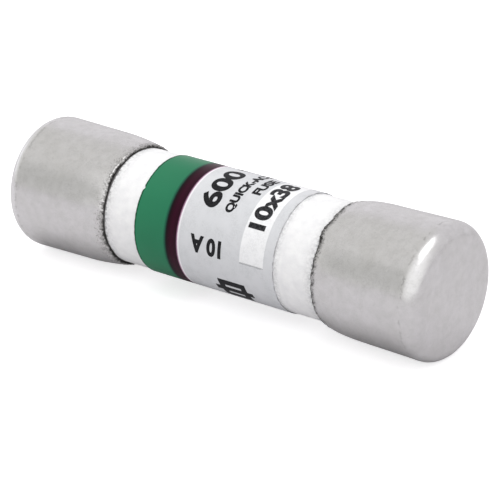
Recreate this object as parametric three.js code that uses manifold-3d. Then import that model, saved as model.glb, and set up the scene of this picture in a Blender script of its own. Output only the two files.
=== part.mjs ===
// Cartridge fuse, 10.3 x 38.1 mm, fast acting, sand filled, with a ferrule cap on each end.
// Millimetres. The fuse lies along X with its middle at the origin, and +Z is up.
// The right end is the +X end. Both ends hold the same pieces: the left end is the right end turned about Y.

import * as THREE from "three";
import { mergeVertices } from "three/addons/utils/BufferGeometryUtils.js";
import Module from "manifold-3d";

const wasm = await Module();
wasm.setup();

// ---- Driving dimensions ----

const OVERALL_LENGTH = 38.1;
const CAP_DIAMETER = 10.3;
const CAP_LENGTH = 9.4;
const TUBE_DIAMETER = 8.9;
const TUBE_WALL = 1.2;
const LABEL_LENGTH = 13.0;
const LABEL_FILM = 0.07;

const FIT_GAP = 0.02; // what holds touching faces apart
const CUT_PAST = 1; // how far a cutting tool runs past what it cuts
const ROUND_SEGMENTS = 64; // facets around every large round piece

// ---- End cap: a drawn cup with a rounded shoulder, its mouth crimped in on the tube ----

const CAP_RADIUS = CAP_DIAMETER / 2;
const CAP_FLOOR = 0.55;
const CAP_SHOULDER = 1.2; // outside radius between the end face and the side
const CAP_BORE_RADIUS = 4.62;
const CAP_INNER_CORNER = 0.65;
const CRIMP_LENGTH = 3.35; // from where the side starts to bend inwards to the rim
const CRIMP_START_RADIUS = 5.045; // outside radius where it starts
const CRIMP_CURVE = 16.4; // radius of that bend
const LIP_ROLL = 0.26; // outside radius of the rim's rounded edge
const LIP_LAND = 0.3; // length over which the lip lies on the tube
const SHOULDER_STEPS = 5;
const CRIMP_STEPS = 4;
const LIP_STEPS = 4;
const CORNER_STEPS = 6;

// ---- Tube and what closes it ----

const HALF_LENGTH = OVERALL_LENGTH / 2;
const TUBE_RADIUS = TUBE_DIAMETER / 2;
const BORE_RADIUS = TUBE_RADIUS - TUBE_WALL;
const TUBE_EDGE_BREAK = 0.2; // chamfer on the tube's outer ends, which leads the cap on
const CAP_FLOOR_X = HALF_LENGTH - CAP_FLOOR;
const SOLDER_DEPTH = 0.5;
const SOLDER_INNER_X = CAP_FLOOR_X - SOLDER_DEPTH;
const WASHER_THICKNESS = 0.6;
const WASHER_RADIUS = TUBE_RADIUS - 0.05;
const WASHER_OUTER_X = SOLDER_INNER_X - FIT_GAP;
const WASHER_INNER_X = WASHER_OUTER_X - WASHER_THICKNESS;
const TUBE_END_X = WASHER_INNER_X - FIT_GAP;

// ---- Fuse element: a silver strip with necks, its two ends folded over the washers ----

const STRIP_WIDTH = 2.2;
const STRIP_THICKNESS = 0.2;
const STRIP_CLEARANCE = 0.05; // around the strip in the washers and the sand
const TAB_LENGTH = 2.4; // from the strip's middle plane to the tab's tip
const TAB_BEND = 0.3; // outside radius of the fold
const BEND_STEPS = 3;
const NECK_COUNT = 5;
const NECK_PITCH = 5;
const NECK_HOLE_RADIUS = 0.5;
const NECK_NOTCH_RADIUS = 0.35;
const NECK_SIDES = 16;

// ---- Tin spot that melts the strip through under a slow overload ----

const TIN_RADIUS = 0.8;
const TIN_HEIGHT = 0.35;
const TIN_X = NECK_PITCH / 2;
const TIN_SIDES = 24;
const TIN_STEPS = 4;

// ---- Label: a film wrapped once round the tube, its end lapped over its start at the lower back ----

const LABEL_RADIUS = TUBE_RADIUS + FIT_GAP;
const LAP_START = THREE.MathUtils.degToRad(200); // measured from the front (-Y) over the top
const LAP_ANGLE = THREE.MathUtils.degToRad(24);
const LAP_RISE = THREE.MathUtils.degToRad(6); // the turn in which the end climbs onto the start
const FULL_TURN = 2 * Math.PI;

// ---- Materials ----

function material(color, roughness, metalness) {
  return new THREE.MeshStandardMaterial({ color, roughness, metalness });
}

const nickelPlate = material(0xc4c2c0, 0.32, 1);
const glassMelamine = material(0xf2f2ef, 0.75, 0);
const printedFilm = material(0xdcdce0, 0.4, 0);
const vulcanFibre = material(0x8a8478, 0.85, 0);
const softSolder = material(0xb4b6b9, 0.4, 1);
const silverStrip = material(0xdadad6, 0.25, 1);
const tin = material(0xa9abae, 0.45, 1);
const quartzSand = material(0xe2dccb, 0.95, 0);

// ---- Shape helpers ----

// A closed profile of [radius, x] points, spun about the X axis.
function spun(profile) {
  const points = profile.map(([radius, x]) => new THREE.Vector2(radius, x));
  return new THREE.LatheGeometry(points, ROUND_SEGMENTS).rotateZ(-Math.PI / 2);
}

// A solid round disc between two places along X.
function disc(radius, fromX, toX) {
  return spun([
    [0, fromX],
    [radius, fromX],
    [radius, toX],
    [0, toX],
  ]);
}

// Points on an arc in a plane, from one angle to another, in degrees from the plane's first axis.
function arc(centre, radius, from, to, steps) {
  return Array.from({ length: steps + 1 }, (_, i) => {
    const angle = THREE.MathUtils.degToRad(from + ((to - from) * i) / steps);
    return [centre[0] + radius * Math.cos(angle), centre[1] + radius * Math.sin(angle)];
  });
}

// A box that reaches from one corner to the other.
function block(low, high) {
  const size = high.map((value, i) => value - low[i]);
  const middle = high.map((value, i) => (value + low[i]) / 2);
  return new THREE.BoxGeometry(...size).translate(...middle);
}

// A geometry as a manifold solid.
function solid(geometry) {
  const bare = geometry.clone();
  bare.deleteAttribute("normal");
  bare.deleteAttribute("uv");
  const merged = mergeVertices(bare, 1e-4);
  return new wasm.Manifold(
    new wasm.Mesh({
      numProp: 3,
      vertProperties: new Float32Array(merged.attributes.position.array),
      triVerts: new Uint32Array(merged.index.array),
    }),
  );
}

// A geometry with others cut out of it.
function cut(geometry, ...tools) {
  const mesh = tools.reduce((left, tool) => left.subtract(solid(tool)), solid(geometry)).getMesh();
  return new THREE.BufferGeometry()
    .setAttribute("position", new THREE.BufferAttribute(mesh.vertProperties, 3))
    .setIndex(new THREE.BufferAttribute(mesh.triVerts, 1));
}

function piece(name, geometry, finish) {
  const mesh = new THREE.Mesh(geometry, finish);
  mesh.name = name;
  return mesh;
}

// ---- One end of the fuse, as it lies at +X ----

function capGeometry() {
  const rimX = HALF_LENGTH - CAP_LENGTH;
  const landRadius = TUBE_RADIUS + FIT_GAP;
  const innerCorner = [CAP_BORE_RADIUS - CAP_INNER_CORNER, CAP_FLOOR_X - CAP_INNER_CORNER];
  const crimp = [CRIMP_START_RADIUS - CRIMP_CURVE, rimX + CRIMP_LENGTH];
  // The rim's rounded edge meets the bend smoothly, at this angle from the side.
  const meeting = Math.asin((CRIMP_LENGTH - LIP_ROLL) / (CRIMP_CURVE - LIP_ROLL));
  const meetingDegrees = THREE.MathUtils.radToDeg(meeting);
  const lip = [crimp[0] + (CRIMP_CURVE - LIP_ROLL) * Math.cos(meeting), rimX + LIP_ROLL];
  const shoulder = [CAP_RADIUS - CAP_SHOULDER, HALF_LENGTH - CAP_SHOULDER];
  return spun([
    [0, CAP_FLOOR_X],
    ...arc(innerCorner, CAP_INNER_CORNER, 90, 0, CORNER_STEPS),
    [CAP_BORE_RADIUS, rimX + CRIMP_LENGTH],
    [landRadius, rimX + LIP_LAND],
    [landRadius, rimX],
    ...arc(lip, LIP_ROLL, -90, -meetingDegrees, LIP_STEPS),
    ...arc(crimp, CRIMP_CURVE, -meetingDegrees, 0, CRIMP_STEPS).slice(1),
    ...arc(shoulder, CAP_SHOULDER, 0, 90, SHOULDER_STEPS),
    [0, HALF_LENGTH],
  ]);
}

// The room that the strip takes on its way through the washers and the sand.
function stripSlot() {
  const halfWidth = STRIP_WIDTH / 2 + STRIP_CLEARANCE;
  const halfThickness = STRIP_THICKNESS / 2 + STRIP_CLEARANCE;
  return block([-HALF_LENGTH, -halfWidth, -halfThickness], [HALF_LENGTH, halfWidth, halfThickness]);
}

function washerGeometry() {
  return cut(disc(WASHER_RADIUS, WASHER_INNER_X, WASHER_OUTER_X), stripSlot());
}

// The pool of solder in the cap's floor, less the room for the folded tab that it holds.
function solderGeometry() {
  const radius = CAP_INNER_CORNER - FIT_GAP;
  const corner = [CAP_BORE_RADIUS - CAP_INNER_CORNER, CAP_FLOOR_X - CAP_INNER_CORNER];
  const edgeAngle = THREE.MathUtils.radToDeg(Math.asin((SOLDER_INNER_X - corner[1]) / radius));
  const pool = spun([
    [0, SOLDER_INNER_X],
    ...arc(corner, radius, edgeAngle, 90, CORNER_STEPS),
    [0, corner[1] + radius],
  ]);
  const halfWidth = STRIP_WIDTH / 2 + FIT_GAP;
  const tabRoom = block(
    [SOLDER_INNER_X - CUT_PAST, -halfWidth, -STRIP_THICKNESS / 2 - FIT_GAP],
    [WASHER_OUTER_X + STRIP_THICKNESS + 2 * FIT_GAP, halfWidth, TAB_LENGTH + FIT_GAP],
  );
  return cut(pool, tabRoom);
}

function fuseEnd(side) {
  const end = new THREE.Group();
  end.add(piece(`${side}_end_cap`, capGeometry(), nickelPlate));
  end.add(piece(`${side}_solder_joint`, solderGeometry(), softSolder));
  end.add(piece(`${side}_fibre_washer`, washerGeometry(), vulcanFibre));
  return end;
}

// ---- The tube and its label ----

function tubeGeometry() {
  const edgeRadius = TUBE_RADIUS - TUBE_EDGE_BREAK;
  const edgeX = TUBE_END_X - TUBE_EDGE_BREAK;
  return spun([
    [BORE_RADIUS, -TUBE_END_X],
    [edgeRadius, -TUBE_END_X],
    [TUBE_RADIUS, -edgeX],
    [TUBE_RADIUS, edgeX],
    [edgeRadius, TUBE_END_X],
    [BORE_RADIUS, TUBE_END_X],
    [BORE_RADIUS, -TUBE_END_X],
  ]);
}

// The film's inner radius at an angle from its start: at the end of its turn it climbs onto itself.
function filmRadius(angle) {
  const climbed = (angle - (FULL_TURN - LAP_RISE)) / LAP_RISE;
  return LABEL_RADIUS + (LABEL_FILM + FIT_GAP) * THREE.MathUtils.clamp(climbed, 0, 1);
}

function labelGeometry() {
  const wrapped = FULL_TURN + LAP_ANGLE;
  const steps = Math.ceil((wrapped / FULL_TURN) * ROUND_SEGMENTS);
  const face = (thickness) =>
    Array.from({ length: steps + 1 }, (_, i) => {
      const angle = (wrapped * i) / steps;
      const radius = filmRadius(angle) + thickness;
      const around = LAP_START + angle;
      return new THREE.Vector2(radius * Math.sin(around), radius * Math.cos(around));
    });
  const section = new THREE.Shape([...face(LABEL_FILM), ...face(0).reverse()]);
  return new THREE.ExtrudeGeometry(section, { depth: LABEL_LENGTH, bevelEnabled: false })
    .translate(0, 0, -LABEL_LENGTH / 2)
    .rotateY(Math.PI / 2)
    .rotateX(Math.PI);
}

// ---- The strip, its tin spot and the sand ----

// The outline of the strip's right half from the side, as [x, z] points: it ends in a tab that is folded up.
function rightHalfOfStrip() {
  const half = STRIP_THICKNESS / 2;
  const faceX = WASHER_OUTER_X + FIT_GAP;
  const backX = faceX + STRIP_THICKNESS;
  const innerBend = TAB_BEND - STRIP_THICKNESS;
  return [
    ...arc([backX - TAB_BEND, TAB_BEND - half], TAB_BEND, -90, 0, BEND_STEPS),
    [backX, TAB_LENGTH],
    [faceX, TAB_LENGTH],
    ...arc([faceX - innerBend, innerBend + half], innerBend, 0, -90, BEND_STEPS),
  ];
}

function elementGeometry() {
  const rightHalf = rightHalfOfStrip();
  const leftHalf = rightHalf.map(([x, z]) => [-x, -z]); // its tab is folded down
  const outline = new THREE.Shape([...rightHalf, ...leftHalf].map(([x, z]) => new THREE.Vector2(x, z)));
  const strip = new THREE.ExtrudeGeometry(outline, { depth: STRIP_WIDTH, bevelEnabled: false })
    .translate(0, 0, -STRIP_WIDTH / 2)
    .rotateX(Math.PI / 2);
  const punch = (radius, x, y) =>
    new THREE.CylinderGeometry(radius, radius, CUT_PAST, NECK_SIDES).rotateX(Math.PI / 2).translate(x, y, 0);
  const punches = Array.from({ length: NECK_COUNT }, (_, i) => {
    const x = (i - (NECK_COUNT - 1) / 2) * NECK_PITCH;
    return [
      punch(NECK_HOLE_RADIUS, x, 0),
      punch(NECK_NOTCH_RADIUS, x, STRIP_WIDTH / 2),
      punch(NECK_NOTCH_RADIUS, x, -STRIP_WIDTH / 2),
    ];
  });
  return cut(strip, ...punches.flat());
}

// A flat-bottomed drop on top of the strip.
function tinGeometry() {
  const base = STRIP_THICKNESS / 2 + FIT_GAP;
  const dome = Array.from({ length: TIN_STEPS }, (_, i) => {
    const angle = (i / TIN_STEPS) * (Math.PI / 2);
    return new THREE.Vector2(TIN_RADIUS * Math.cos(angle), base + TIN_HEIGHT * Math.sin(angle));
  });
  const profile = [new THREE.Vector2(0, base), ...dome, new THREE.Vector2(0, base + TIN_HEIGHT)];
  return new THREE.LatheGeometry(profile, TIN_SIDES).rotateX(Math.PI / 2).translate(TIN_X, 0, 0);
}

// The bonded sand fills the bore around the strip and its tin spot.
function sandGeometry() {
  const end = TUBE_END_X - FIT_GAP;
  const room = TIN_RADIUS + STRIP_CLEARANCE;
  const roomTop = STRIP_THICKNESS / 2 + TIN_HEIGHT + 2 * STRIP_CLEARANCE;
  const tinRoom = block([TIN_X - room, -room, 0], [TIN_X + room, room, roomTop]);
  return cut(disc(BORE_RADIUS - FIT_GAP, -end, end), stripSlot(), tinRoom);
}

// ---- Assembly ----

const fuse = new THREE.Group();
fuse.add(piece("fuse_tube", tubeGeometry(), glassMelamine));
fuse.add(piece("rating_label", labelGeometry(), printedFilm));
fuse.add(piece("fuse_element", elementGeometry(), silverStrip));
fuse.add(piece("tin_spot", tinGeometry(), tin));
fuse.add(piece("quartz_filler", sandGeometry(), quartzSand));

const rightEnd = fuseEnd("right");
const leftEnd = fuseEnd("left");
leftEnd.rotation.y = Math.PI; // this turns the tab's room in the solder downwards too
fuse.add(rightEnd, leftEnd);

export default fuse;
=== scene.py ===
"""The looks of a ferrule cartridge fuse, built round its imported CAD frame.

Metres, +Z up. The fuse lies along X with its middle at the origin, and its front is towards -Y.
Angles round the fuse start at the front and go up over the top, towards the back.
"""

import math

import bmesh
import bpy
from mathutils import Matrix, Vector, noise


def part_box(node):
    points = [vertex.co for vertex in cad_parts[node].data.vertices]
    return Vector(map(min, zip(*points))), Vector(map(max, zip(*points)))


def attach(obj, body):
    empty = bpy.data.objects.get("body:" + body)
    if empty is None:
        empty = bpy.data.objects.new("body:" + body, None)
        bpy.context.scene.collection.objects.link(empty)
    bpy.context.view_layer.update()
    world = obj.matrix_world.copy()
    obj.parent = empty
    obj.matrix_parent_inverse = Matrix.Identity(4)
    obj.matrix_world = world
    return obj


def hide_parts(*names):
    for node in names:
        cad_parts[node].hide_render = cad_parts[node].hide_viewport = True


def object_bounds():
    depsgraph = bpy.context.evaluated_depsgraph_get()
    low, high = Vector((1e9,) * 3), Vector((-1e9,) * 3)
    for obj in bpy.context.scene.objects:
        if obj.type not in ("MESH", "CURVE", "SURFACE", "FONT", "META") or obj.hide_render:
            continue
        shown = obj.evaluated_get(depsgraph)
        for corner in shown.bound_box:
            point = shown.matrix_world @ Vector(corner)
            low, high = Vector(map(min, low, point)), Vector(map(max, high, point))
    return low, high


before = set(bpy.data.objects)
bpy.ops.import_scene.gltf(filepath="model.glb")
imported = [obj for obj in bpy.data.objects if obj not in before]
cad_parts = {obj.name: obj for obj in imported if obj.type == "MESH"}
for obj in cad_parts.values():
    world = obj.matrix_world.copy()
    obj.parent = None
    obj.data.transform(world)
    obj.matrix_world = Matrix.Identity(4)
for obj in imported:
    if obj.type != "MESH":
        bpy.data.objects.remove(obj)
cad_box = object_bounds()

# ---- Sizes, from the frame where it has them ----

MM = 0.001
TURN = 2 * math.pi

tube_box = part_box("fuse_tube")
cap_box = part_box("right_end_cap")
label_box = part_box("rating_label")

TUBE_RADIUS = tube_box[1].z
TUBE_END = tube_box[1].x
TUBE_WALL = 1.2 * MM
TUBE_BORE = TUBE_RADIUS - TUBE_WALL
TUBE_EDGE = 0.2 * MM
TUBE_RELIEF = 0.03 * MM
TUBE_RELIEF_SIZE = 0.5 * MM

CAP_RADIUS = cap_box[1].z
CAP_FACE = cap_box[1].x
CAP_RIM = cap_box[0].x
CAP_FLOOR = 0.55 * MM
CAP_WALL = 0.53 * MM
CAP_BORE = CAP_RADIUS - CAP_WALL
CAP_SHOULDER = 1.2 * MM
CAP_INNER_CORNER = 0.65 * MM
CAP_SWELL = 0.011 * MM
CAP_SWELL_SIZE = 2.2 * MM
CAP_TAPER = 0.105 * MM
CRIMP_LENGTH = 3.35 * MM
CRIMP_START_RADIUS = CAP_RADIUS - CAP_TAPER
CRIMP_CURVE = 16.4 * MM
CRIMP_STEPS = 12
LIP_ROLL = 0.26 * MM
LIP_STEPS = 8
LIP_LAND = 0.3 * MM
LIP_TURN_IN = 0.02 * MM
LIP_GAP = 0.03 * MM

# How gently a change of shape starts or ends: the bent rim and the torn lip along the cap, both of
# them outwards from the bore, the tube's relief outwards and beside the label, and the cut edge.
RIM_FADE = (0.2 * MM, 1.6 * MM)
LIP_FADE = (0.3 * MM, 0.7 * MM)
CAP_SKIN = 0.12 * MM
TUBE_SKIN = 0.1 * MM
RELIEF_FADE = 0.2 * MM
CUT_FADE = 0.8 * MM

LABEL_HALF = label_box[1].x
LABEL_GLUE = 0.02 * MM
LABEL_RADIUS = TUBE_RADIUS + LABEL_GLUE
LABEL_FILM = 0.07 * MM
LAP_START = math.radians(200)
LAP_ANGLE = math.radians(24)
LAP_RISE = math.radians(6)
LAP_GAP = 0.01 * MM
INK = 0.012 * MM
INK_SUNK = 0.02 * MM

# How finely the meshes are cut.
ROUND_STEPS = 256
ROUNDING_STEPS = 8
CAP_CELL = 0.3 * MM
TUBE_CELL = 0.25 * MM
PRINT_CELL = 0.12 * MM
LABEL_CELLS = (52, 300)
MERGE = 0.0005 * MM
SMOOTH_BELOW = math.radians(40)


# ---- Shape helpers ----

def around(x, angle, radius):
    """The point at a place along the fuse, an angle round it and a distance from its axis."""
    return Vector((x, -radius * math.cos(angle), radius * math.sin(angle)))


def angle_of(point):
    """The angle round the fuse, from half a turn behind the front to half a turn past it."""
    return math.atan2(point.z, -point.y)


def radius_of(point):
    """How far a point is from the fuse's axis."""
    return math.hypot(point.y, point.z)


def share(value, start, stop):
    """How far a value is from start to stop, from 0 to 1, easing in and out."""
    t = min(max((value - start) / (stop - start), 0), 1)
    return t * t * (3 - 2 * t)


def wander(angle, lobes, seed):
    """A smooth random wave round the fuse, from about -1 to 1, with so many lobes to the turn."""
    radius = lobes / math.pi
    return noise.noise(Vector((radius * math.cos(angle), radius * math.sin(angle), seed)))


def spun(corners, longest, closed=False):
    """A section of (x, radius, rounding) corners spun about the axis, no edge over the longest."""
    bm = bmesh.new()
    verts = [bm.verts.new((x, 0, radius)) for x, radius, _ in corners]
    ends = zip(verts, verts[1:] + verts[:1]) if closed else zip(verts, verts[1:])
    for pair in ends:
        bm.edges.new(pair)
    for vert, (_, _, rounding) in zip(verts, corners):
        if rounding:
            bmesh.ops.bevel(bm, geom=[vert], offset=rounding, offset_type="OFFSET",
                            segments=ROUNDING_STEPS, profile=0.5, affect="VERTICES", material=-1)
    for edge in list(bm.edges):
        cuts = math.floor(edge.calc_length() / longest)
        if cuts:
            bmesh.ops.subdivide_edges(bm, edges=[edge], cuts=cuts)
    bmesh.ops.spin(bm, geom=bm.verts[:] + bm.edges[:], cent=(0, 0, 0), axis=(1, 0, 0),
                   angle=TURN, steps=ROUND_STEPS, use_merge=True)
    bmesh.ops.remove_doubles(bm, verts=bm.verts, dist=MERGE)
    bmesh.ops.recalc_face_normals(bm, faces=bm.faces)
    return bm


def roughen(bm, depth, size, seed, where):
    """Moves each point along its normal by a smooth random amount, by as much as where() allows."""
    bm.normal_update()
    for vert in bm.verts:
        weight = where(vert.co)
        if weight:
            swell = noise.noise(vert.co / size + Vector((seed, 0, 0)))
            vert.co += vert.normal * (depth * weight * swell)


def slab(bm, bottom, top):
    """Turns a flat sheet at height 0 into a closed slab between two heights."""
    made = bmesh.ops.extrude_face_region(bm, geom=bm.faces[:])
    raised = {v for v in made["geom"] if isinstance(v, bmesh.types.BMVert)}
    for vert in bm.verts:
        vert.co.z = top if vert in raised else bottom
    bmesh.ops.recalc_face_normals(bm, faces=bm.faces)


def sliced(bm, step):
    """Cuts a mesh along its Y axis into strips, so that it can be rolled up."""
    low = min(v.co.y for v in bm.verts)
    high = max(v.co.y for v in bm.verts)
    for i in range(math.ceil(low / step), math.floor(high / step) + 1):
        bmesh.ops.bisect_plane(bm, geom=bm.verts[:] + bm.edges[:] + bm.faces[:], dist=MERGE,
                               plane_co=(0, i * step, 0), plane_no=(0, 1, 0))


def film_radius(angle):
    """The label's inner radius at an angle from its start, where its end climbs onto its start."""
    return LABEL_RADIUS + (LABEL_FILM + LAP_GAP) * share(angle, TURN - LAP_RISE, TURN)


def rolled(bm, radius_at):
    """Rolls a flat sheet up round the fuse: X stays, Y goes round and Z goes outwards."""
    for vert in bm.verts:
        angle = vert.co.y / LABEL_RADIUS
        vert.co = around(vert.co.x, angle, radius_at(angle) + vert.co.z)


def piece(bm, name, material, replaces=()):
    """Makes a mesh one of the fuse's pieces, with its faces smooth across all but sharp edges."""
    mesh = bpy.data.meshes.new(name)
    bm.to_mesh(mesh)
    bm.free()
    made = bpy.data.objects.new(name, mesh)
    bpy.context.scene.collection.objects.link(made)
    mesh.materials.append(material)
    mesh.shade_smooth()
    mesh.set_sharp_from_angle(angle=SMOOTH_BELOW)
    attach(made, "root")
    if replaces:
        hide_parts(*replaces)


# ---- Shader helpers ----

def add(tree, kind, inputs=None, **settings):
    """A new shader node. Each input is a value or another node's output, by name or number."""
    made = tree.nodes.new("ShaderNode" + kind)
    for name, value in settings.items():
        setattr(made, name, value)
    for key, value in (inputs or {}).items():
        if isinstance(value, bpy.types.NodeSocket):
            tree.links.new(value, made.inputs[key])
        else:
            made.inputs[key].default_value = value
    return made


def effect(name, inputs, outputs):
    """A shader node group, and the nodes inside it that stand for its named inputs and outputs."""
    tree = bpy.data.node_groups.new(name, "ShaderNodeTree")
    for label, kind, value in inputs:
        socket = tree.interface.new_socket(
            name=label, in_out="INPUT", socket_type="NodeSocket" + kind)
        if value is not None:
            socket.default_value = value
    for label, kind in outputs:
        tree.interface.new_socket(
            name=label, in_out="OUTPUT", socket_type="NodeSocket" + kind)
    return tree, tree.nodes.new("NodeGroupInput").outputs, tree.nodes.new("NodeGroupOutput").inputs


def use(tree, group, **inputs):
    """Places an effect in a material and gives its outputs."""
    made = add(tree, "Group", node_tree=group)
    for label, value in inputs.items():
        socket = made.inputs[label.replace("_", " ")]
        if isinstance(value, bpy.types.NodeSocket):
            tree.links.new(value, socket)
        else:
            socket.default_value = value
    return made.outputs


def math_of(tree, operation, *values):
    """The result of one Math node."""
    return add(tree, "Math", dict(enumerate(values)), operation=operation).outputs[0]


def mapped(tree, value, low, high, first=0.0, last=1.0, **settings):
    """How far a value is from low to high, as a number from first to last."""
    limits = {"From Min": low, "From Max": high, "To Min": first, "To Max": last}
    return add(tree, "MapRange", {"Value": value, **limits}, **settings).outputs[0]


def product(tree, *factors):
    """Values multiplied together."""
    total = factors[0]
    for factor in factors[1:]:
        total = math_of(tree, "MULTIPLY", total, factor)
    return total


def plus(tree, value, other, times):
    """A value, plus another one multiplied by a factor."""
    return math_of(tree, "MULTIPLY_ADD", other, times, value)


def blend_of(tree, factor, first, second, mode="MIX"):
    """Two colours mixed."""
    made = add(tree, "Mix", {0: factor, 6: first, 7: second}, data_type="RGBA", blend_type=mode)
    return made.outputs[2]


def tinted(tree, color, tint):
    """A colour multiplied by another one."""
    return blend_of(tree, 1.0, color, tint, "MULTIPLY")


def cover(tree, ground, paint, mask, most=None):
    """A colour laid over another where a mask is set, hiding at most some share of it."""
    return blend_of(tree, mask if most is None else product(tree, mask, most), ground, paint)


def finish(name):
    """A new material, its nodes, its main shader, and the surface's place on the fuse in mm."""
    material = bpy.data.materials.new(name)
    material.use_nodes = True
    tree = material.node_tree
    shader = tree.nodes["Principled BSDF"]
    where = add(tree, "TexCoord").outputs["Object"]
    place = add(tree, "Mapping", {"Vector": where, "Scale": (1 / MM,) * 3}).outputs[0]
    return material, tree, shader, place


def along_of(tree, place):
    """How far along the fuse a place is, towards the right end."""
    return add(tree, "SeparateXYZ", {0: place}).outputs["X"]


def grey(value, tint=0.0):
    """A grey, a little blue where the tint is above 0 and a little warm where it is below."""
    return (value * (1 - tint), value, value * (1 + tint), 1)


# ---- Shared surface effects ----

def mottle_effect():
    """Cloudy patches of a second colour, and a mask of them. A wider spread softens their edges."""
    tree, given, result = effect(
        "cloudy_mottle",
        [("Place", "Vector", None), ("Patch size", "Float", 1.0), ("Spread", "Float", 0.5),
         ("Ground", "Color", (0.8, 0.8, 0.8, 1)), ("Patch", "Color", (0.7, 0.7, 0.7, 1))],
        [("Color", "Color"), ("Mask", "Float")])
    scale = math_of(tree, "DIVIDE", 1.0, given["Patch size"])
    cloud = add(tree, "TexNoise", {"Vector": given["Place"], "Scale": scale,
                                   "Detail": 4.0, "Roughness": 0.55})
    low = plus(tree, 0.5, given["Spread"], times=-0.3)
    high = plus(tree, 0.5, given["Spread"], times=0.3)
    mask = mapped(tree, cloud.outputs["Fac"], low, high)
    tree.links.new(blend_of(tree, mask, given["Ground"], given["Patch"]), result["Color"])
    tree.links.new(mask, result["Mask"])
    return tree


def grain_effect():
    """Fine lines or fibres, as a height. A stretch above 1 draws them out along the fuse."""
    tree, given, result = effect(
        "drawn_grain",
        [("Place", "Vector", None), ("Grain size", "Float", 0.1), ("Stretch", "Float", 1.0)],
        [("Height", "Float")])
    along = math_of(tree, "DIVIDE", 1.0, given["Stretch"])
    squeeze = add(tree, "CombineXYZ", {"X": along, "Y": 1.0, "Z": 1.0}).outputs[0]
    drawn = add(tree, "VectorMath", {0: given["Place"], 1: squeeze}, operation="MULTIPLY")
    scale = math_of(tree, "DIVIDE", 1.0, given["Grain size"])
    lines = add(tree, "TexNoise", {"Vector": drawn.outputs[0], "Scale": scale,
                                   "Detail": 3.0, "Roughness": 0.6})
    tree.links.new(lines.outputs["Fac"], result["Height"])
    return tree


def band_effect():
    """A mask that is 1 where a value lies between two limits, with soft edges."""
    tree, given, result = effect(
        "band_mask",
        [("Value", "Float", 0.0), ("Low", "Float", 0.0), ("High", "Float", 1.0),
         ("Edge", "Float", 0.01)],
        [("Mask", "Float")])
    low_end = math_of(tree, "ADD", given["Low"], given["Edge"])
    high_end = math_of(tree, "SUBTRACT", given["High"], given["Edge"])
    rise = mapped(tree, given["Value"], given["Low"], low_end)
    fall = mapped(tree, given["Value"], high_end, given["High"], first=1.0, last=0.0)
    tree.links.new(product(tree, rise, fall), result["Mask"])
    return tree


def polar_effect():
    """The distance from the fuse's axis, the distance from its middle, and the angle round it."""
    tree, given, result = effect(
        "round_the_axis", [("Place", "Vector", None)],
        [("Radius", "Float"), ("From middle", "Float"), ("Angle", "Float")])
    split = add(tree, "SeparateXYZ", {0: given["Place"]}).outputs
    across = add(tree, "CombineXYZ", {"X": 0.0, "Y": split["Y"], "Z": split["Z"]}).outputs[0]
    radius = add(tree, "VectorMath", {0: across}, operation="LENGTH").outputs["Value"]
    front = math_of(tree, "MULTIPLY", split["Y"], -1.0)
    tree.links.new(radius, result["Radius"])
    tree.links.new(math_of(tree, "ABSOLUTE", split["X"]), result["From middle"])
    tree.links.new(math_of(tree, "ARCTAN2", split["Z"], front), result["Angle"])
    return tree


MOTTLE = mottle_effect()
GRAIN = grain_effect()
BAND = band_effect()
POLAR = polar_effect()


def mottled(tree, place, size, spread, ground, patch):
    """Cloudy patches of one colour on another, their size in millimetres."""
    return use(tree, MOTTLE, Place=place, Patch_size=size, Spread=spread,
               Ground=ground, Patch=patch)


def patches(tree, place, size, spread):
    """A mask of cloudy patches of a size in millimetres."""
    return use(tree, MOTTLE, Place=place, Patch_size=size, Spread=spread)["Mask"]


def band(tree, value, low, high, edge):
    """A mask that is 1 between two limits of a value, with soft edges of some width inside them."""
    return use(tree, BAND, Value=value, Low=low, High=high, Edge=edge)["Mask"]


def bump(tree, height, strength, depth):
    """A normal from a height, which stands for a depth in millimetres."""
    made = add(tree, "Bump", {"Height": height, "Strength": strength, "Distance": depth * MM})
    return made.outputs[0]


# ---- Finishes ----

# How far each cup's rim sits towards its own end from its nominal place, in millimetres. The cups
# are pressed on unevenly.
RIM_SET = {"right": 0.25, "left": -0.17}

# Plated metal: its clean colour and its clouds, a speckle and a smudge that dim it, its colours where
# it is rubbed and pitted, a painted highlight round the shoulder and a painted dark line inside it,
# and its colours dulled round the lip and blackened under it, partly by dirt and partly as painted
# shade.
NICKEL_CLEAN = (0.785, 0.775, 0.78, 1)
NICKEL_CLOUD = (0.745, 0.735, 0.73, 1)
NICKEL_SPECKLE = (0.974, 0.974, 0.977, 1)
NICKEL_SMUDGE = (0.945, 0.945, 0.94, 1)
NICKEL_RUBBED = (0.45, 0.44, 0.44, 1)
NICKEL_PITTED = (0.22, 0.215, 0.21, 1)
NICKEL_PAINTED_HIGHLIGHT = (0.93, 0.93, 0.94, 1)
NICKEL_PAINTED_DARK_LINE = (0.36, 0.355, 0.35, 1)
NICKEL_DULL_AND_SHADE = (0.20, 0.195, 0.185, 1)
SOOT_AND_SHADE = (0.025, 0.023, 0.021, 1)
WHITE = (1, 1, 1, 1)


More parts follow.
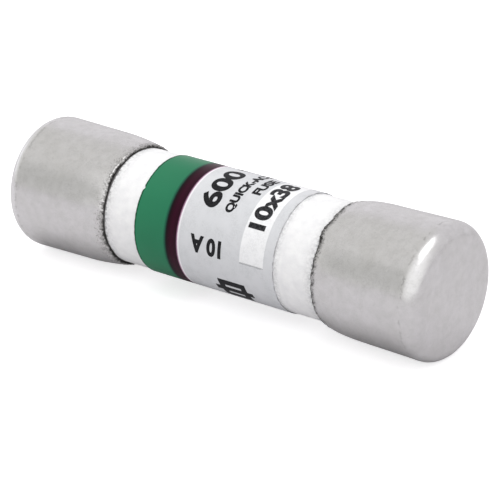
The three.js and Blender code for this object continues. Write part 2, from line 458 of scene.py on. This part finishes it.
def satin_nickel():
    """Plated metal: cloudy, finely drawn, a painted highlight by the left shoulder, black at the
    mouth with dirt and painted shade.
    """
    material, tree, shader, place = finish("satin_nickel")
    polar = use(tree, POLAR, Place=place)
    along = along_of(tree, place)
    # The painted shoulder highlight and the ragged creep of the mouth's dirt and painted shade are
    # light at the right end and full at the left.
    leftwards = mapped(tree, along, 17.0, -17.0, first=0.12)
    marks = patches(tree, place, size=0.5, spread=0.12)
    pits = patches(tree, place, size=0.11, spread=0.3)
    flecks = patches(tree, place, size=0.13, spread=0.6)
    blotch = patches(tree, place, size=0.9, spread=0.8)
    rubbed = use(tree, GRAIN, Place=place, Grain_size=0.09, Stretch=12.0)["Height"]

    cloud = mottled(tree, place, size=2.2, spread=0.7, ground=NICKEL_CLEAN, patch=NICKEL_CLOUD)
    speckle = mottled(tree, place, size=0.3, spread=0.8, ground=WHITE, patch=NICKEL_SPECKLE)
    smudge = mottled(tree, place, size=0.75, spread=0.35, ground=WHITE, patch=NICKEL_SMUDGE)
    metal = tinted(tree, cloud["Color"], speckle["Color"])
    metal = tinted(tree, metal, smudge["Color"])
    metal = cover(tree, metal, NICKEL_RUBBED, rubbed, most=0.06)
    metal = cover(tree, metal, NICKEL_PITTED, product(tree, marks, pits), most=0.09)

    # A painted highlight: a pale band round the shoulder, strongest on the left cap, standing for the
    # bright edge the shoulder mirrors, with a painted dark line inside it.
    bend = (CAP_FACE - CAP_SHOULDER) / MM
    from_shoulder = plus(tree, polar["From middle"], flecks, times=0.22)
    worn = band(tree, from_shoulder, bend + 0.2, bend + 0.95, edge=0.12)
    worn = product(tree, worn, plus(tree, 0.35, blotch, times=0.3), leftwards)
    metal = cover(tree, metal, NICKEL_PAINTED_HIGHLIGHT, worn)
    highlight_dark_line = band(tree, from_shoulder, bend + 0.02, bend + 0.2, edge=0.06)
    metal = cover(tree, metal, NICKEL_PAINTED_DARK_LINE, product(tree, highlight_dark_line, marks), most=0.4)

    # Dirt and painted shade in the corner between the lip and the tube, which creep out raggedly on
    # the left cap.
    land = TUBE_RADIUS / MM
    mouth = band(tree, polar["From middle"], 0.0, CAP_RIM / MM + 1.2, edge=0.3)
    height = plus(tree, polar["Radius"], along, times=-0.003)
    height = plus(tree, height, flecks, times=product(tree, leftwards, 0.20))
    height = plus(tree, height, blotch, times=product(tree, leftwards, 0.12))
    soot_and_shade = product(tree, band(tree, height, 0.0, land + 0.38, edge=0.09), mouth)
    soot_and_shade = product(tree, soot_and_shade, plus(tree, 0.98, blotch, times=-0.18))
    # The lip's roll is dulled, partly real dulling and partly painted shade.
    height = plus(tree, polar["Radius"], flecks, times=0.20)
    dull_and_shade = product(tree, band(tree, height, 0.0, land + 0.42, edge=0.08), mouth)
    metal = cover(tree, metal, NICKEL_DULL_AND_SHADE, dull_and_shade, most=0.62)
    tree.links.new(cover(tree, metal, SOOT_AND_SHADE, soot_and_shade), shader.inputs["Base Color"])

    rough = plus(tree, 0.21, cloud["Mask"], times=0.04)
    rough = plus(tree, rough, speckle["Mask"], times=0.02)
    rough = plus(tree, rough, dull_and_shade, times=0.22)
    rough = plus(tree, rough, soot_and_shade, times=0.15)
    tree.links.new(rough, shader.inputs["Roughness"])
    tree.links.new(bump(tree, rubbed, strength=0.06, depth=0.01), shader.inputs["Normal"])
    shader.inputs["Metallic"].default_value = 1.0
    return material


# The tube: its white, the shade between its fibres, and its colours where it is scuffed near the
# rims, partly scuffs and partly painted shade, dirty beside the label, and painted shade in the gap
# under a rim.
TUBE_WHITE = (0.89, 0.89, 0.89, 1)
TUBE_SHADE = (0.80, 0.80, 0.81, 1)
TUBE_SCUFFS_AND_SHADE = (0.34, 0.34, 0.35, 1)
TUBE_DIRTY = (0.40, 0.40, 0.41, 1)
TUBE_GAP_SHADE = (0.06, 0.058, 0.055, 1)
PLASTIC_IOR = 1.5


def glass_melamine():
    """White fibre-filled plastic, scuffed and darkened with painted shade where it runs in under the
    rims.
    """
    material, tree, shader, place = finish("glass_melamine")
    polar = use(tree, POLAR, Place=place)
    along = along_of(tree, place)
    cloud = mottled(tree, place, size=0.7, spread=0.7, ground=TUBE_WHITE, patch=TUBE_SHADE)
    flecks = patches(tree, place, size=0.2, spread=0.4)
    fibre = use(tree, GRAIN, Place=place, Grain_size=0.14, Stretch=0.5)["Height"]

    # The distance from the middle, skewed so that it is the same at both rims.
    rim = CAP_RIM / MM + (RIM_SET["right"] + RIM_SET["left"]) / 2
    skew = (RIM_SET["left"] - RIM_SET["right"]) / 2 / rim
    out = plus(tree, polar["From middle"], along, times=skew)
    # Nothing shows this far inside a cap.
    hidden = rim + 2
    # Scuffs near the rims, mixed with painted shade where the rims shade the tube.
    wide = band(tree, out, rim - 0.9, hidden, edge=0.9)
    close = band(tree, plus(tree, out, flecks, times=0.34), rim - 0.05, hidden, edge=0.24)
    scuffs_and_shade = math_of(tree, "MAXIMUM", product(tree, flecks, wide, 0.5), product(tree, close, 0.85))
    color = cover(tree, cloud["Color"], TUBE_SCUFFS_AND_SHADE, scuffs_and_shade)

    label_end = LABEL_HALF / MM
    beside = band(tree, along, label_end - 0.5, label_end + 0.5, edge=0.4)
    color = cover(tree, color, TUBE_DIRTY, product(tree, beside, flecks), most=0.45)
    # Painted shade in the gap under each rim.
    color = cover(tree, color, TUBE_GAP_SHADE, band(tree, out, rim - 0.10, hidden, edge=0.08), most=0.9)
    tree.links.new(color, shader.inputs["Base Color"])
    tree.links.new(plus(tree, 0.7, cloud["Mask"], times=0.1), shader.inputs["Roughness"])
    tree.links.new(bump(tree, fibre, strength=0.8, depth=0.04), shader.inputs["Normal"])
    shader.inputs["IOR"].default_value = PLASTIC_IOR
    return material


# The label's printing: its colour at each of these places along it, in millimetres from its middle.
LABEL_STRIPES = (
    (-6.50, (0.010, 0.065, 0.032, 1)),
    (-6.38, (0.010, 0.065, 0.032, 1)),
    (-6.32, (0.027, 0.196, 0.097, 1)),
    (-3.72, (0.024, 0.182, 0.092, 1)),
    (-3.52, (0.012, 0.070, 0.045, 1)),
    (-3.44, (0.006, 0.009, 0.010, 1)),
    (-3.36, (0.008, 0.003, 0.005, 1)),
    (-3.26, (0.016, 0.0008, 0.006, 1)),
    (-2.95, (0.030, 0.0008, 0.011, 1)),
    (-2.62, (0.024, 0.0008, 0.009, 1)),
    (-2.46, (0.012, 0.0010, 0.006, 1)),
    (-2.42, (0.30, 0.13, 0.23, 1)),
    (-2.36, (0.34, 0.17, 0.27, 1)),
    (-2.33, (0.85, 0.80, 0.84, 1)),
    (-2.23, (0.85, 0.82, 0.85, 1)),
    (-2.18, (0.655, 0.66, 0.68, 1)),
    (6.40, (0.655, 0.66, 0.68, 1)),
)
STRIPES_END = -2.2

# The white patch for the stamp: its reach along the label in millimetres, and round it in radians.
STAMP_PATCH_X = (3.43, 5.63)
STAMP_PATCH_ANGLE = (0.0, 2.4)

FILM_WHITE = (0.87, 0.87, 0.88, 1)
FILM_PATCH_EDGE = (0.22, 0.22, 0.23, 1)
FILM_CLOUD = (0.94, 0.95, 0.95, 1)
FILM_DIRT = (0.30, 0.30, 0.31, 1)
FILM_EDGE_SHADE = (0.25, 0.25, 0.26, 1)


def printed_film():
    """The label's film with its stripes and its white patch. The lettering is separate."""
    material, tree, shader, place = finish("printed_film")
    polar = use(tree, POLAR, Place=place)
    along = along_of(tree, place)
    half = LABEL_HALF / MM
    ragged = use(tree, GRAIN, Place=place, Grain_size=0.12, Stretch=1.0)["Height"]
    wobble = product(tree, math_of(tree, "SUBTRACT", ragged, 0.5), 0.06)

    printed_at = math_of(tree, "ADD", along, wobble)
    stripes = add(tree, "ValToRGB", {"Fac": mapped(tree, printed_at, -half, half)})
    ramp = stripes.color_ramp
    ramp.interpolation = "LINEAR"
    while len(ramp.elements) < len(LABEL_STRIPES):
        ramp.elements.new(1.0)
    for element, (from_middle, color) in zip(ramp.elements, LABEL_STRIPES):
        element.position = (from_middle + half) / (2 * half)
        element.color = color

    start, stop = STAMP_PATCH_ANGLE
    around_at = math_of(tree, "ADD", polar["Angle"], product(tree, wobble, 0.6))
    patch_x = band(tree, printed_at, *STAMP_PATCH_X, edge=0.05)
    patch = product(tree, patch_x, band(tree, around_at, start, stop, edge=0.012))
    color = cover(tree, stripes.outputs["Color"], FILM_WHITE, patch)
    patch_edge = band(tree, around_at, start - 0.024, start + 0.014, edge=0.012)
    color = cover(tree, color, FILM_PATCH_EDGE, product(tree, patch_edge, patch_x, ragged))

    cloud = mottled(tree, place, size=1.8, spread=0.9, ground=WHITE, patch=FILM_CLOUD)
    color = tinted(tree, color, cloud["Color"])
    plain = band(tree, along, STRIPES_END, half + 1, edge=0.1)
    smears = patches(tree, place, size=0.9, spread=0.3)
    dust = patches(tree, place, size=0.12, spread=0.3)
    dirt = product(tree, smears, dust, plain)
    color = cover(tree, color, FILM_DIRT, dirt, most=0.14)
    # A painted shade line along the label's right edge, broken in patches.
    edge_shade = band(tree, printed_at, half - 0.10, half + 1, edge=0.04)
    edge_shade = product(tree, edge_shade, patches(tree, place, size=0.5, spread=0.25))
    color = cover(tree, color, FILM_EDGE_SHADE, edge_shade, most=0.6)
    tree.links.new(color, shader.inputs["Base Color"])
    tree.links.new(plus(tree, 0.3, cloud["Mask"], times=0.06), shader.inputs["Roughness"])
    tree.links.new(bump(tree, cloud["Mask"], strength=0.2, depth=0.01), shader.inputs["Normal"])
    shader.inputs["IOR"].default_value = PLASTIC_IOR
    shader.inputs["Specular IOR Level"].default_value = 0.05
    shader.inputs["Coat Weight"].default_value = 0.15
    shader.inputs["Coat Roughness"].default_value = 0.25
    return material


def label_ink(name, color, worn_color, worn):
    """Printing ink. The worn share of it lets the film show through in specks."""
    material, tree, shader, place = finish(name)
    specks = mottled(tree, place, size=0.18, spread=worn, ground=color, patch=worn_color)
    tree.links.new(specks["Color"], shader.inputs["Base Color"])
    tree.links.new(plus(tree, 0.4, specks["Mask"], times=0.1), shader.inputs["Roughness"])
    shader.inputs["Specular IOR Level"].default_value = 0.1
    return material


FIBRE_BROWN = (0.24, 0.20, 0.16, 1)
FIBRE_SHADE = (0.17, 0.14, 0.11, 1)


def vulcan_fibre():
    """Brown pressed fibre, like stiff card."""
    material, tree, shader, place = finish("vulcan_fibre")
    cloud = mottled(tree, place, size=0.5, spread=1.0, ground=FIBRE_BROWN, patch=FIBRE_SHADE)
    fibre = use(tree, GRAIN, Place=place, Grain_size=0.08, Stretch=1.0)["Height"]
    tree.links.new(cloud["Color"], shader.inputs["Base Color"])
    tree.links.new(plus(tree, 0.75, fibre, times=0.2), shader.inputs["Roughness"])
    tree.links.new(bump(tree, fibre, strength=0.4, depth=0.03), shader.inputs["Normal"])
    return material


def worked_metal(name, ground, patch, size, roughness, depth):
    """A soft grey metal whose surface froze or was rolled unevenly."""
    material, tree, shader, place = finish(name)
    cloud = mottled(tree, place, size=size, spread=0.9, ground=ground, patch=patch)
    tree.links.new(cloud["Color"], shader.inputs["Base Color"])
    tree.links.new(plus(tree, roughness, cloud["Mask"], times=0.15), shader.inputs["Roughness"])
    tree.links.new(bump(tree, cloud["Mask"], strength=0.4, depth=depth), shader.inputs["Normal"])
    shader.inputs["Metallic"].default_value = 1.0
    return material


SAND = (0.62, 0.56, 0.42, 1)
GRAIN_TINT = 0.25
GRAINS_PER_MM = 3.2


def quartz_sand():
    """Bonded sand, each grain its own tint."""
    material, tree, shader, place = finish("quartz_sand")
    grains = add(tree, "TexVoronoi", {"Vector": place, "Scale": GRAINS_PER_MM}).outputs
    tree.links.new(blend_of(tree, GRAIN_TINT, SAND, grains["Color"]), shader.inputs["Base Color"])
    tree.links.new(plus(tree, 0.6, grains["Distance"], times=0.3), shader.inputs["Roughness"])
    height = math_of(tree, "SUBTRACT", 1.0, grains["Distance"])
    tree.links.new(bump(tree, height, strength=0.8, depth=0.12), shader.inputs["Normal"])
    return material


NICKEL = satin_nickel()
MELAMINE = glass_melamine()
FILM = printed_film()
BLACK_INK = label_ink("black_ink", color=(0.008, 0.008, 0.010, 1),
                      worn_color=(0.02, 0.02, 0.022, 1), worn=0.6)
STAMP_INK = label_ink("stamp_ink", color=(0.008, 0.008, 0.009, 1),
                      worn_color=(0.05, 0.05, 0.055, 1), worn=0.5)


# ---- End caps ----

def arc(x, radius, curve, start, stop, steps):
    """Section corners on an arc about (x, radius). Angles turn from outwards to the right."""
    angles = [start + (stop - start) * i / steps for i in range(steps + 1)]
    return [(x + curve * math.sin(angle), radius + curve * math.cos(angle), 0) for angle in angles]


# Where the rims are bent out of true: each an angle round the fuse and a half width, both in
# degrees, and a reach in millimetres by which the rim stays back there.
RIM_DENTS = {
    "right": ((49, 15, -0.24), (78, 24, -0.09), (8, 8, -0.07),
              (-32, 12, 0.05), (150, 40, 0.08), (250, 30, 0.12)),
    "left": ((45, 26, 0.10), (18, 9, 0.05), (-34, 14, -0.16),
             (98, 20, -0.16), (180, 40, 0.10), (260, 30, 0.07)),
}

# Random waves round the mouth: each a height in millimetres, lobes to the turn, and a step of the
# seed. The edge waves along the fuse, and the lip is torn. The mouth waves in and out, and so does
# the lip.
EDGE_WAVE = (0.03, 22, 0)
LIP_TEARS = ((0.07, 60, 5), (0.07, 130, 7))
MOUTH_WAVE = (0.05, 16, 9)
LIP_WAVE = (0.05, 70, 3)


def dented(angle, side):
    """How far the rim stays back from its place at an angle, in millimetres."""
    back = RIM_SET[side]
    for middle, half_width, reach in RIM_DENTS[side]:
        away = abs((math.degrees(angle) - middle + 180) % 360 - 180)
        back += reach * (1 - share(away, 0, half_width))
    return back


def wave(angle, seed, height, lobes, step):
    """One of the random waves, in millimetres."""
    return height * wander(angle, lobes, seed + step)


def end_cap(side, seed):
    """A drawn cup with its mouth crimped in, made at the right end. The left one is then mirrored."""
    land = TUBE_RADIUS + LIP_GAP
    floor = CAP_FACE - CAP_FLOOR
    bend_x, bend_radius = CAP_RIM + CRIMP_LENGTH, CRIMP_START_RADIUS - CRIMP_CURVE
    meeting = math.asin((CRIMP_LENGTH - LIP_ROLL) / (CRIMP_CURVE - LIP_ROLL))
    lip_radius = bend_radius + (CRIMP_CURVE - LIP_ROLL) * math.cos(meeting)
    bm = spun([
        (CAP_FACE, 0, 0),
        (CAP_FACE, CAP_RADIUS, CAP_SHOULDER),
        *arc(bend_x, bend_radius, CRIMP_CURVE, 0, -meeting, CRIMP_STEPS),
        *arc(CAP_RIM + LIP_ROLL, lip_radius, LIP_ROLL, -meeting, -math.pi / 2, LIP_STEPS)[1:],
        (CAP_RIM + LIP_TURN_IN, land, 0),
        (CAP_RIM + LIP_LAND, land, 0),
        (bend_x, CAP_BORE, 0),
        (floor, CAP_BORE, CAP_INNER_CORNER),
        (floor, 0, 0),
    ], longest=CAP_CELL)

    def near_rim(point):
        return 1 - share(point.x - CAP_RIM, *RIM_FADE)

    def outside(point):
        return share(radius_of(point), land, land + CAP_SKIN)

    for vert in bm.verts:
        angle = angle_of(vert.co)
        lip = outside(vert.co) * (1 - share(vert.co.x - CAP_RIM, *LIP_FADE))
        back = dented(angle, side) + wave(angle, seed, *EDGE_WAVE)
        ragged = sum(wave(angle, seed, *tear) for tear in LIP_TEARS)
        inwards = wave(angle, seed, *MOUTH_WAVE) + wave(angle, seed, *LIP_WAVE) * lip
        vert.co.x += MM * (back * near_rim(vert.co) + ragged * lip)
        inwards *= MM * near_rim(vert.co) * outside(vert.co)
        scale = 1 - inwards / max(radius_of(vert.co), LIP_ROLL)
        vert.co.y *= scale
        vert.co.z *= scale
    roughen(bm, CAP_SWELL, CAP_SWELL_SIZE, seed, where=outside)
    if side == "left":
        bmesh.ops.scale(bm, vec=(-1, 1, 1), verts=bm.verts)
        bmesh.ops.recalc_face_normals(bm, faces=bm.faces)
    piece(bm, side + "_cap_shell", NICKEL, [side + "_end_cap"])


end_cap("right", seed=3.1)
end_cap("left", seed=11.7)


# ---- Tube ----

def tube():
    """The tube, with the relief of its fibres wherever the label leaves it bare."""
    bm = spun([
        (-TUBE_END, TUBE_BORE, 0),
        (-TUBE_END, TUBE_RADIUS, TUBE_EDGE),
        (TUBE_END, TUBE_RADIUS, TUBE_EDGE),
        (TUBE_END, TUBE_BORE, 0),
    ], longest=TUBE_CELL, closed=True)

    def shows(point):
        outer = share(radius_of(point), TUBE_RADIUS - TUBE_SKIN, TUBE_RADIUS)
        return outer * share(abs(point.x), LABEL_HALF, LABEL_HALF + RELIEF_FADE)

    roughen(bm, TUBE_RELIEF, TUBE_RELIEF_SIZE, seed=2.0, where=shows)
    piece(bm, "melamine_tube", MELAMINE, ["fuse_tube"])


tube()


# ---- Label ----

# A small nick in the label's left edge.
NICK_ANGLE = math.radians(43)
NICK_WIDTH = math.radians(2.2)
NICK_DEPTH = 0.16 * MM

# How uneven the label's cut edges are: two random waves, each a height in millimetres, lobes to the
# turn and a seed, and a step inwards that keeps the edge near its nominal place or inside it.
CUT_WAVES = ((0.05, 7, 4), (0.025, 50, 9))
CUT_INSET = 0.03


def label():
    """The film, laid out flat, given its uneven cut edges, thickened, and rolled round the tube."""
    length = (TURN + LAP_ANGLE) * LABEL_RADIUS
    bm = bmesh.new()
    bmesh.ops.create_grid(bm, x_segments=LABEL_CELLS[0], y_segments=LABEL_CELLS[1], size=1)
    bmesh.ops.scale(bm, vec=(LABEL_HALF, length / 2, 1), verts=bm.verts)
    bmesh.ops.translate(bm, vec=(0, length / 2, 0), verts=bm.verts)
    for vert in bm.verts:
        angle = LAP_START + vert.co.y / LABEL_RADIUS
        side = math.copysign(1, vert.co.x)
        near_edge = share(abs(vert.co.x), LABEL_HALF - CUT_FADE, LABEL_HALF)
        uneven = sum(height * wander(angle, lobes, seed * side)
                     for height, lobes, seed in CUT_WAVES)
        vert.co.x += side * (uneven - CUT_INSET) * MM * near_edge
        from_nick = abs((angle - NICK_ANGLE + math.pi) % TURN - math.pi)
        if side < 0 and vert.co.x < 0:
            vert.co.x += NICK_DEPTH * near_edge * max(0, 1 - from_nick / NICK_WIDTH)
    slab(bm, 0, LABEL_FILM)
    start = LAP_START * LABEL_RADIUS
    bmesh.ops.translate(bm, vec=(0, start, 0), verts=bm.verts)
    rolled(bm, lambda angle: film_radius(angle - LAP_START))
    bmesh.ops.recalc_face_normals(bm, faces=bm.faces)
    piece(bm, "label_film", FILM, ["rating_label"])


label()


# ---- Lettering ----

LETTER_STEPS = 6
LETTER_MERGE = 1e-5


def flat_words(words, weight):
    """Words as a flat mesh, in the font's own units. The weight makes the strokes bolder."""
    curve = bpy.data.curves.new(words, "FONT")
    curve.body = words
    curve.offset = weight
    curve.resolution_u = LETTER_STEPS
    holder = bpy.data.objects.new(words, curve)
    bpy.context.scene.collection.objects.link(holder)
    bpy.context.view_layer.update()
    shaped = holder.evaluated_get(bpy.context.evaluated_depsgraph_get())
    bm = bmesh.new()
    bm.from_mesh(shaped.to_mesh())
    shaped.to_mesh_clear()
    bpy.data.objects.remove(holder)
    bpy.data.curves.remove(curve)
    bmesh.ops.remove_doubles(bm, verts=bm.verts, dist=LETTER_MERGE)
    return bm


def fitted(bm, width, height):
    """Moves a flat mesh's lower left corner to the origin and gives it a width and a height."""
    low = Vector((min(v.co.x for v in bm.verts), min(v.co.y for v in bm.verts), 0))
    high = Vector((max(v.co.x for v in bm.verts), max(v.co.y for v in bm.verts), 0))
    bmesh.ops.translate(bm, vec=-low, verts=bm.verts)
    stretch = (width / (high.x - low.x), height / (high.y - low.y), 1)
    bmesh.ops.scale(bm, vec=stretch, verts=bm.verts)


def printed(bm, name, x, angle, turn, ink):
    """Turns a flat print about its origin, moves it to its place and rolls it on to the label."""
    bmesh.ops.rotate(bm, cent=(0, 0, 0), matrix=Matrix.Rotation(turn, 3, "Z"), verts=bm.verts)
    bmesh.ops.translate(bm, vec=(x, math.radians(angle) * LABEL_RADIUS, 0), verts=bm.verts)
    sliced(bm, PRINT_CELL)
    slab(bm, LABEL_FILM - INK_SUNK, LABEL_FILM + INK)
    rolled(bm, lambda angle: LABEL_RADIUS)
    bmesh.ops.recalc_face_normals(bm, faces=bm.faces)
    piece(bm, name, ink)


def fuse_symbol(bar, height, wire, line):
    """The wiring symbol of a fuse: a hollow bar, with the wire straight through it."""
    half_bar, half_height, half_line = bar / 2, height / 2, line / 2
    bm = bmesh.new()
    bmesh.ops.create_grid(bm, x_segments=1, y_segments=1, size=0.5)
    bmesh.ops.scale(bm, vec=(wire, height, 1), verts=bm.verts)
    for axis, places in ((Vector((1, 0, 0)), (half_bar, half_bar - line)),
                         (Vector((0, 1, 0)), (half_height - line, half_line))):
        for place in places:
            for cut in (axis * place, -axis * place):
                bmesh.ops.bisect_plane(bm, geom=bm.verts[:] + bm.edges[:] + bm.faces[:], dist=MERGE,
                                       plane_co=cut, plane_no=axis)

    def inked(point):
        x, y = abs(point.x), abs(point.y)
        on_wire = y < half_line
        on_bar = x < half_bar and (x > half_bar - line or y > half_height - line)
        return on_wire or on_bar

    blank = [face for face in bm.faces if not inked(face.calc_center_median())]
    bmesh.ops.delete(bm, geom=blank, context="FACES")
    return bm


UPWARDS = math.radians(90)
HEAD_DOWN = math.radians(180)

# Each print: its name, words, width and height, place along the label in millimetres, angle round
# it in degrees, turn, weight and ink.
PRINTS = (
    ("rating_print", "600 V", 7.0, 1.72, 0.43, 42, UPWARDS, 0.035, BLACK_INK),
    ("action_print", "QUICK-ACTING", 7.2, 0.88, 1.99, 42, UPWARDS, 0.05, BLACK_INK),
    ("kind_print", "FUSE", 2.5, 0.80, 3.13, 68, UPWARDS, 0.045, BLACK_INK),
    ("size_stamp", "10x38", 5.2, 1.5, 5.15, 34, UPWARDS, 0.045, STAMP_INK),
    ("current_print", "10 A", 2.85, 1.36, 1.72, 14.5, HEAD_DOWN, 0.045, BLACK_INK),
)

for name, words, width, height, x, angle, turn, weight, ink in PRINTS:
    flat = flat_words(words, weight)
    fitted(flat, width * MM, height * MM)
    printed(flat, name, x * MM, angle, turn, ink)

symbol = fuse_symbol(bar=2.5 * MM, height=2.1 * MM, wire=3.4 * MM, line=0.52 * MM)
printed(symbol, "fuse_symbol_print", x=2.3 * MM, angle=-39, turn=0, ink=BLACK_INK)


# ---- What is sealed inside keeps its CAD shape ----

def dress(node, material):
    """Gives a CAD node its finish."""
    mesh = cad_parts[node].data
    mesh.materials.clear()
    mesh.materials.append(material)


SOLDER = worked_metal("soft_solder", grey(0.42, 0.02), grey(0.34, 0.02),
                      size=0.5, roughness=0.32, depth=0.03)
FIBRE = vulcan_fibre()
for end in ("left", "right"):
    dress(end + "_solder_joint", SOLDER)
    dress(end + "_fibre_washer", FIBRE)
dress("fuse_element", worked_metal("silver_strip", grey(0.80, -0.01), grey(0.70, -0.02),
                                   size=0.8, roughness=0.2, depth=0.01))
dress("tin_spot", worked_metal("tin_bead", grey(0.46), grey(0.38),
                               size=0.25, roughness=0.35, depth=0.03))
dress("quartz_filler", quartz_sand())


# ---- Studio ----

FLOOR_RADIUS = 1.5
FLOOR_STEPS = 64
FLOOR_COLOR = (0.65, 0.64, 0.655, 1)
FLOOR_ROUGHNESS = 0.9
FLOOR_GLOW = 0.68

# The walls' colour, then soft spots on them: each an azimuth, an elevation, the angles from its
# middle at which it ends and at which it is full, and its colour. The front right is the lightest.
WALL_COLOR = (0.765, 0.75, 0.77, 1)
WALL_SPOTS = (
    (-60, 35, 75, 30, (0.755, 0.75, 0.735, 1)),
    (40, 22, 75, 20, (1.12, 1.12, 1.12, 1)),
    (-143, 24, 28, 5, (0.85, 0.835, 0.855, 1)),
    (-37, 19, 22, 6, (0.60, 0.60, 0.585, 1)),
    (-92, 4, 26, 8, (1.05, 1.05, 1.07, 1)),
)

CAMERA_AZIMUTH = 38.1
CAMERA_ELEVATION = 21.7
CAMERA_DISTANCE = 193.6 * MM
CAMERA_SHIFT_RIGHT = 0.7 * MM
CAMERA_SHIFT_UP = -0.5 * MM
CAMERA_LENS = 188.4
CAMERA_SENSOR = 36
CAMERA_NEAREST = 0.01


def studio_floor():
    """A pale table top. The camera sees it lit from within, so that shadows stay faint."""
    bm = bmesh.new()
    bmesh.ops.create_circle(bm, cap_ends=True, radius=FLOOR_RADIUS, segments=FLOOR_STEPS)
    bmesh.ops.translate(bm, vec=(0, 0, cad_box[0].z), verts=bm.verts)
    mesh = bpy.data.meshes.new("table_top")
    bm.to_mesh(mesh)
    bm.free()
    floor = bpy.data.objects.new("table_top", mesh)
    bpy.context.scene.collection.objects.link(floor)
    material = bpy.data.materials.new("white_table")
    material.use_nodes = True
    tree = material.node_tree
    shader = tree.nodes["Principled BSDF"]
    shader.inputs["Base Color"].default_value = FLOOR_COLOR
    shader.inputs["Roughness"].default_value = FLOOR_ROUGHNESS
    shader.inputs["Emission Color"].default_value = WHITE
    seen = add(tree, "LightPath").outputs["Is Camera Ray"]
    tree.links.new(product(tree, seen, FLOOR_GLOW), shader.inputs["Emission Strength"])
    mesh.materials.append(material)


def direction(azimuth, elevation):
    """The way out from the fuse. The azimuth goes from its front towards its right end."""
    a, e = math.radians(azimuth), math.radians(elevation)
    return Vector((math.sin(a) * math.cos(e), -math.cos(a) * math.cos(e), math.sin(e)))


def softbox(name, azimuth, elevation, distance, width, height, radiance, mirrored=True):
    """An area light that faces the fuse. Its radiance is what a mirror would show of it."""
    lamp = bpy.data.lights.new(name, "AREA")
    lamp.shape = "RECTANGLE"
    lamp.size = width
    lamp.size_y = height
    lamp.energy = radiance * math.pi * width * height
    holder = bpy.data.objects.new(name, lamp)
    outwards = direction(azimuth, elevation)
    holder.location = outwards * distance
    holder.rotation_euler = outwards.to_track_quat("Z", "Y").to_euler()
    holder.visible_glossy = mirrored
    bpy.context.scene.collection.objects.link(holder)


def surroundings():
    """Pale walls all round, with the soft spots on them."""
    world = bpy.data.worlds.new("white_room")
    world.use_nodes = True
    tree = world.node_tree
    way = add(tree, "TexCoord").outputs["Generated"]

    walls = WALL_COLOR
    for azimuth, elevation, ends, full, color in WALL_SPOTS:
        middle = direction(azimuth, elevation)
        towards = add(tree, "VectorMath", {0: way, 1: middle}, operation="DOT_PRODUCT")
        spot = mapped(tree, towards.outputs["Value"], math.cos(math.radians(ends)),
                      math.cos(math.radians(full)), interpolation_type="SMOOTHSTEP")
        walls = blend_of(tree, spot, walls, color)
    background = tree.nodes["Background"]
    tree.links.new(walls, background.inputs["Color"])
    background.inputs["Strength"].default_value = 1.0
    bpy.context.scene.world = world


def camera():
    """A long lens on the fuse's front right, a little above it."""
    lens = bpy.data.cameras.new("camera")
    lens.sensor_width = CAMERA_SENSOR
    lens.lens = CAMERA_LENS
    lens.clip_start = CAMERA_NEAREST
    holder = bpy.data.objects.new("camera", lens)
    back = direction(CAMERA_AZIMUTH, CAMERA_ELEVATION)
    right = Vector((0, 0, 1)).cross(back).normalized()
    up = back.cross(right)
    holder.location = CAMERA_DISTANCE * back + CAMERA_SHIFT_RIGHT * right + CAMERA_SHIFT_UP * up
    holder.rotation_euler = back.to_track_quat("Z", "Y").to_euler()
    bpy.context.scene.collection.objects.link(holder)
    bpy.context.scene.camera = holder


studio_floor()
surroundings()
softbox("overhead_softbox", azimuth=74, elevation=71, distance=0.5,
        width=0.34, height=0.32, radiance=1.2)
softbox("left_fill", azimuth=-95, elevation=68, distance=0.12,
        width=0.08, height=0.08, radiance=1.7, mirrored=False)
softbox("front_fill", azimuth=10, elevation=8, distance=0.5,
        width=0.4, height=0.3, radiance=0.5, mirrored=False)
camera()
bpy.context.scene.view_settings.view_transform = "Standard"
